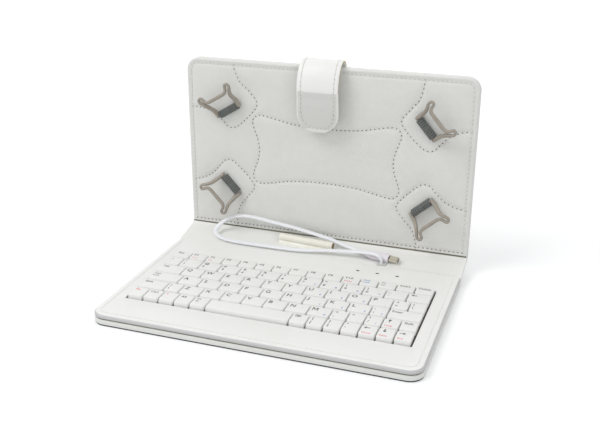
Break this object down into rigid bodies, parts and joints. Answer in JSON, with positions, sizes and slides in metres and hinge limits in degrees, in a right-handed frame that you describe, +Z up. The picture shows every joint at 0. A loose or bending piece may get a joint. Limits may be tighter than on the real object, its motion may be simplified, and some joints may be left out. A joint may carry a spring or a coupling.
{
  "type": "tablet keyboard case",
  "caption": "White leather folio case that stands open, with a compact keyboard in its lower leaf and corner hooks, a strap and a kickstand on its upper leaf.",
  "frame": {"origin": "middle of the lower leaf's underside, on the table", "axes": "+X to the right along the fold lines, +Y from the keyboard to the upper leaf, +Z up"},
  "size_m": [0.205, 0.1564, 0.1413],
  "materials": {
    "white_leather": "satin",
    "lining_leather": "satin",
    "greyboard": "matte",
    "cap_plastic": "satin",
    "guide_plastic": "matte",
    "dome_rubber": "matte",
    "film_plastic": "satin",
    "steel": "satin",
    "circuit_board": "satin",
    "light_plastic": "gloss",
    "hook_rubber": "satin",
    "elastic_fabric": "matte",
    "cable_plastic": "satin",
    "loop_leather": "satin",
    "gland_plastic": "satin"
  },
  "bodies": {
    "lower_leaf": {"base_cover": "white_leather", "base_board": "greyboard", "catch_plate": "steel", "keyboard_frame": "white_leather", "back_plate": "steel", "circuit_film": "film_plastic", "dome_sheet": "dome_rubber", "key_plate": "guide_plastic", "controller_board": "circuit_board", "status_lights": "light_plastic", "base_fold": "lining_leather"},
    "spine": {"spine_cover": "white_leather", "spine_board": "greyboard", "spine_lining": "lining_leather", "stylus_loop": "loop_leather", "cable_gland": "gland_plastic", "usb_cable": "cable_plastic", "plug_grip": "cable_plastic", "plug_tip": "steel"},
    "upper_leaf": {"back_cover": "white_leather", "back_board": "greyboard", "tablet_panel": "white_leather", "panel_fold": "lining_leather", "elastic_top_left": "elastic_fabric", "elastic_top_right": "elastic_fabric", "elastic_bottom_left": "elastic_fabric", "elastic_bottom_right": "elastic_fabric", "strap_root": "white_leather", "kickstand_fold": "white_leather"},
    "strap_top": {"strap_top": "white_leather"},
    "strap_band": {"strap_band": "white_leather"},
    "strap_tab": {"strap_tab": "white_leather", "strap_magnet": "steel"},
    "kickstand": {"kickstand": "white_leather"},
    "esc_key": {"esc_key": "cap_plastic"},
    "function_keys": {"function_keys": "cap_plastic"},
    "edit_keys": {"edit_keys": "cap_plastic"},
    "number_keys": {"number_keys": "cap_plastic"},
    "backspace_key": {"backspace_key": "cap_plastic"},
    "tab_key": {"tab_key": "cap_plastic"},
    "upper_letter_keys": {"upper_letter_keys": "cap_plastic"},
    "caps_lock_key": {"caps_lock_key": "cap_plastic"},
    "middle_letter_keys": {"middle_letter_keys": "cap_plastic"},
    "enter_key": {"enter_key": "cap_plastic"},
    "left_shift_key": {"left_shift_key": "cap_plastic"},
    "lower_letter_keys": {"lower_letter_keys": "cap_plastic"},
    "up_key": {"up_key": "cap_plastic"},
    "right_shift_key": {"right_shift_key": "cap_plastic"},
    "modifier_keys": {"modifier_keys": "cap_plastic"},
    "space_key": {"space_key": "cap_plastic"},
    "symbol_keys": {"symbol_keys": "cap_plastic"},
    "left_key": {"left_key": "cap_plastic"},
    "down_key": {"down_key": "cap_plastic"},
    "right_key": {"right_key": "cap_plastic"},
    "hook_top_left": {"hook_top_left": "hook_rubber"},
    "hook_top_right": {"hook_top_right": "hook_rubber"},
    "hook_bottom_left": {"hook_bottom_left": "hook_rubber"},
    "hook_bottom_right": {"hook_bottom_right": "hook_rubber"}
  },
  "joints": [
    {"name": "spine_fold", "type": "hinge", "parent": "lower_leaf", "child": "spine", "pos_m": [0, 0.06225, 0.0073], "axis": [1, 0, 0], "range_deg": [-10, 80], "deforming": ["base_fold"]},
    {"name": "panel_fold", "type": "hinge", "parent": "spine", "child": "upper_leaf", "pos_m": [0, 0.08431, 0.01119], "axis": [1, 0, 0], "range_deg": [-80, 10], "deforming": ["panel_fold"]},
    {"name": "strap_lift", "type": "hinge", "parent": "upper_leaf", "child": "strap_top", "pos_m": [-0.001, 0.09386, 0.13489], "axis": [1, 0, 0], "range_deg": [-170, 0]},
    {"name": "strap_bend", "type": "hinge", "parent": "strap_top", "child": "strap_band", "pos_m": [-0.001, 0.08074, 0.13921], "axis": [-1, 0, 0], "range_deg": [0, 77]},
    {"name": "tab_bend", "type": "hinge", "parent": "strap_band", "child": "strap_tab", "pos_m": [-0.001, 0.07661, 0.11236], "axis": [-1, 0, 0], "range_deg": [-77, 0]},
    {"name": "kickstand_fold", "type": "hinge", "parent": "upper_leaf", "child": "kickstand", "pos_m": [0, 0.09426, 0.09129], "axis": [-1, 0, 0], "range_deg": [-75, 0]},
    {"name": "press_esc_key", "type": "slide", "parent": "lower_leaf", "child": "esc_key", "axis": [0, 0, 1], "range_m": [-0.0015, 0], "stiffness_N_per_m": 400, "springref_m": 0.0005, "deforming": ["dome_sheet"]},
    {"name": "press_function_keys", "type": "slide", "parent": "lower_leaf", "child": "function_keys", "axis": [0, 0, 1], "range_m": [-0.0015, 0], "stiffness_N_per_m": 4000, "springref_m": 0.0005},
    {"name": "press_edit_keys", "type": "slide", "parent": "lower_leaf", "child": "edit_keys", "axis": [0, 0, 1], "range_m": [-0.0015, 0], "stiffness_N_per_m": 1600, "springref_m": 0.0005},
    {"name": "press_number_keys", "type": "slide", "parent": "lower_leaf", "child": "number_keys", "axis": [0, 0, 1], "range_m": [-0.0015, 0], "stiffness_N_per_m": 4800, "springref_m": 0.0005},
    {"name": "press_backspace_key", "type": "slide", "parent": "lower_leaf", "child": "backspace_key", "axis": [0, 0, 1], "range_m": [-0.0015, 0], "stiffness_N_per_m": 400, "springref_m": 0.0005},
    {"name": "press_tab_key", "type": "slide", "parent": "lower_leaf", "child": "tab_key", "axis": [0, 0, 1], "range_m": [-0.0015, 0], "stiffness_N_per_m": 400, "springref_m": 0.0005},
    {"name": "press_upper_letter_keys", "type": "slide", "parent": "lower_leaf", "child": "upper_letter_keys", "axis": [0, 0, 1], "range_m": [-0.0015, 0], "stiffness_N_per_m": 4800, "springref_m": 0.0005},
    {"name": "press_caps_lock_key", "type": "slide", "parent": "lower_leaf", "child": "caps_lock_key", "axis": [0, 0, 1], "range_m": [-0.0015, 0], "stiffness_N_per_m": 400, "springref_m": 0.0005},
    {"name": "press_middle_letter_keys", "type": "slide", "parent": "lower_leaf", "child": "middle_letter_keys", "axis": [0, 0, 1], "range_m": [-0.0015, 0], "stiffness_N_per_m": 4000, "springref_m": 0.0005},
    {"name": "press_enter_key", "type": "slide", "parent": "lower_leaf", "child": "enter_key", "axis": [0, 0, 1], "range_m": [-0.0015, 0], "stiffness_N_per_m": 400, "springref_m": 0.0005},
    {"name": "press_left_shift_key", "type": "slide", "parent": "lower_leaf", "child": "left_shift_key", "axis": [0, 0, 1], "range_m": [-0.0015, 0], "stiffness_N_per_m": 400, "springref_m": 0.0005},
    {"name": "press_lower_letter_keys", "type": "slide", "parent": "lower_leaf", "child": "lower_letter_keys", "axis": [0, 0, 1], "range_m": [-0.0015, 0], "stiffness_N_per_m": 4400, "springref_m": 0.0005},
    {"name": "press_up_key", "type": "slide", "parent": "lower_leaf", "child": "up_key", "axis": [0, 0, 1], "range_m": [-0.0015, 0], "stiffness_N_per_m": 400, "springref_m": 0.0005},
    {"name": "press_right_shift_key", "type": "slide", "parent": "lower_leaf", "child": "right_shift_key", "axis": [0, 0, 1], "range_m": [-0.0015, 0], "stiffness_N_per_m": 400, "springref_m": 0.0005},
    {"name": "press_modifier_keys", "type": "slide", "parent": "lower_leaf", "child": "modifier_keys", "axis": [0, 0, 1], "range_m": [-0.0015, 0], "stiffness_N_per_m": 2000, "springref_m": 0.0005},
    {"name": "press_space_key", "type": "slide", "parent": "lower_leaf", "child": "space_key", "axis": [0, 0, 1], "range_m": [-0.0015, 0], "stiffness_N_per_m": 400, "springref_m": 0.0005},
    {"name": "press_symbol_keys", "type": "slide", "parent": "lower_leaf", "child": "symbol_keys", "axis": [0, 0, 1], "range_m": [-0.0015, 0], "stiffness_N_per_m": 1600, "springref_m": 0.0005},
    {"name": "press_left_key", "type": "slide", "parent": "lower_leaf", "child": "left_key", "axis": [0, 0, 1], "range_m": [-0.0015, 0], "stiffness_N_per_m": 400, "springref_m": 0.0005},
    {"name": "press_down_key", "type": "slide", "parent": "lower_leaf", "child": "down_key", "axis": [0, 0, 1], "range_m": [-0.0015, 0], "stiffness_N_per_m": 400, "springref_m": 0.0005},
    {"name": "press_right_key", "type": "slide", "parent": "lower_leaf", "child": "right_key", "axis": [0, 0, 1], "range_m": [-0.0015, 0], "stiffness_N_per_m": 400, "springref_m": 0.0005},
    {"name": "stretch_top_left", "type": "slide", "parent": "upper_leaf", "child": "hook_top_left", "axis": [-0.515, 0, 0.8572], "range_m": [0, 0.014], "stiffness_N_per_m": 500, "springref_m": -0.002, "deforming": ["elastic_top_left"]},
    {"name": "stretch_top_right", "type": "slide", "parent": "upper_leaf", "child": "hook_top_right", "axis": [0.7547, 0, 0.6561], "range_m": [0, 0.014], "stiffness_N_per_m": 500, "springref_m": -0.002, "deforming": ["elastic_top_right"]},
    {"name": "stretch_bottom_left", "type": "slide", "parent": "upper_leaf", "child": "hook_bottom_left", "axis": [-0.7314, 0, -0.682], "range_m": [0, 0.014], "stiffness_N_per_m": 500, "springref_m": -0.002, "deforming": ["elastic_bottom_left"]},
    {"name": "stretch_bottom_right", "type": "slide", "parent": "upper_leaf", "child": "hook_bottom_right", "axis": [0.6561, 0, -0.7547], "range_m": [0, 0.014], "stiffness_N_per_m": 500, "springref_m": -0.002, "deforming": ["elastic_bottom_right"]}
  ],
  "couplings": [
    {"joint": "tab_bend", "follows": "strap_bend", "ratio": -0.93374}
  ]
}
